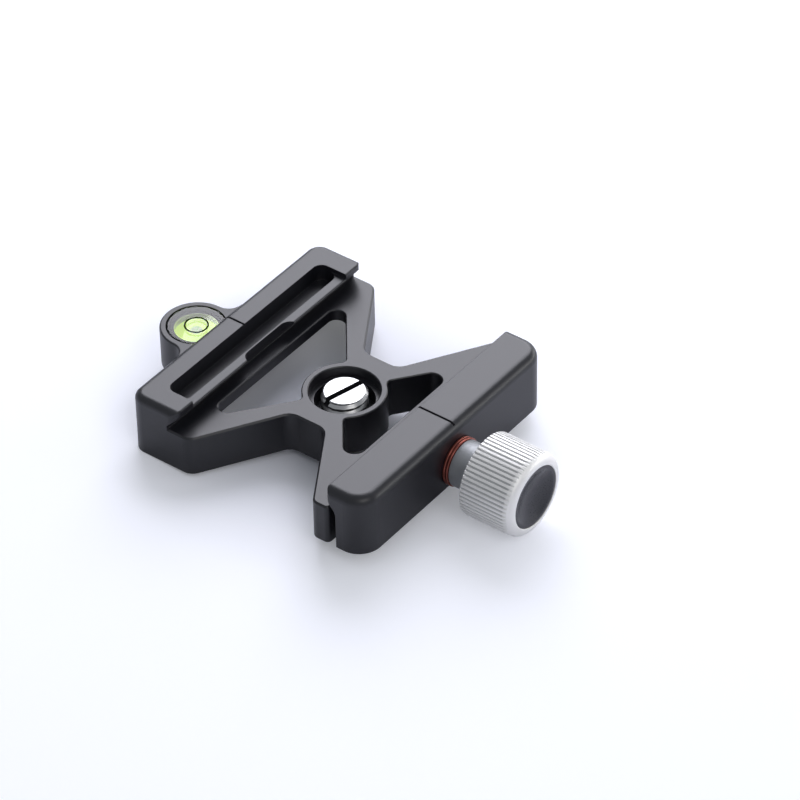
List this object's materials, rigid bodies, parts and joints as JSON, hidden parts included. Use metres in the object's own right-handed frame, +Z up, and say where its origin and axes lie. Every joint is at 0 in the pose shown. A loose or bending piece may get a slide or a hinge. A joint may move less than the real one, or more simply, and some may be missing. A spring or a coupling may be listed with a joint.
{
  "type": "dovetail quick release clamp",
  "caption": "Screw clamp for a dovetail camera plate: fixed jaw with a bull's-eye level, sliding jaw, open X-shaped frame with a threaded hub, and a fluted knob.",
  "frame": {"origin": "axis of the threaded hub at the underside of the frame", "axes": "+X from the fixed jaw towards the knob, +Y along the jaws, +Z up towards the camera plate"},
  "size_m": [0.0871, 0.06, 0.0179],
  "materials": {
    "black_anodised": "black anodised, satin",
    "silver_aluminium": "silver anodised, satin",
    "gunmetal": "dark anodised, polished",
    "copper_washer": "copper, satin",
    "bright_bush": "polished",
    "steel": "turned",
    "clear_acrylic": "clear, polished",
    "level_liquid": "yellow-green liquid",
    "bubble": "air in liquid",
    "ring_print": "printed, dark",
    "black_plastic": "satin black"
  },
  "bodies": {
    "frame": {"body_frame": "black_anodised", "bush_screw": "bright_bush", "level_base": "black_plastic", "level_cup": "clear_acrylic", "level_lens": "clear_acrylic", "level_ring": "ring_print", "level_fluid": "level_liquid", "level_bubble": "bubble", "clamp_stud": "steel", "stud_stop_screw": "steel", "guide_pin_front": "steel", "guide_pin_back": "steel", "return_spring_front": "steel", "return_spring_back": "steel"},
    "jaw": {"moving_jaw": "black_anodised", "thrust_washer_inner": "copper_washer", "thrust_washer_outer": "copper_washer"},
    "knob": {"knob_core": "gunmetal", "knob_grip": "silver_aluminium", "knob_cap": "black_plastic"}
  },
  "joints": [
    {"name": "jaw_slide", "type": "slide", "parent": "frame", "child": "jaw", "axis": [1, 0, 0], "range_m": [-0.0011, 0.0025], "deforming": ["return_spring_front", "return_spring_back"]},
    {"name": "knob_turn", "type": "hinge", "parent": "jaw", "child": "knob", "pos_m": [0.04, 0, 0.0047], "axis": [1, 0, 0], "range_deg": [-396.1, 900.1]}
  ],
  "couplings": [
    {"joint": "knob_turn", "follows": "jaw_slide", "rad_per_m": 6283.2}
  ]
}
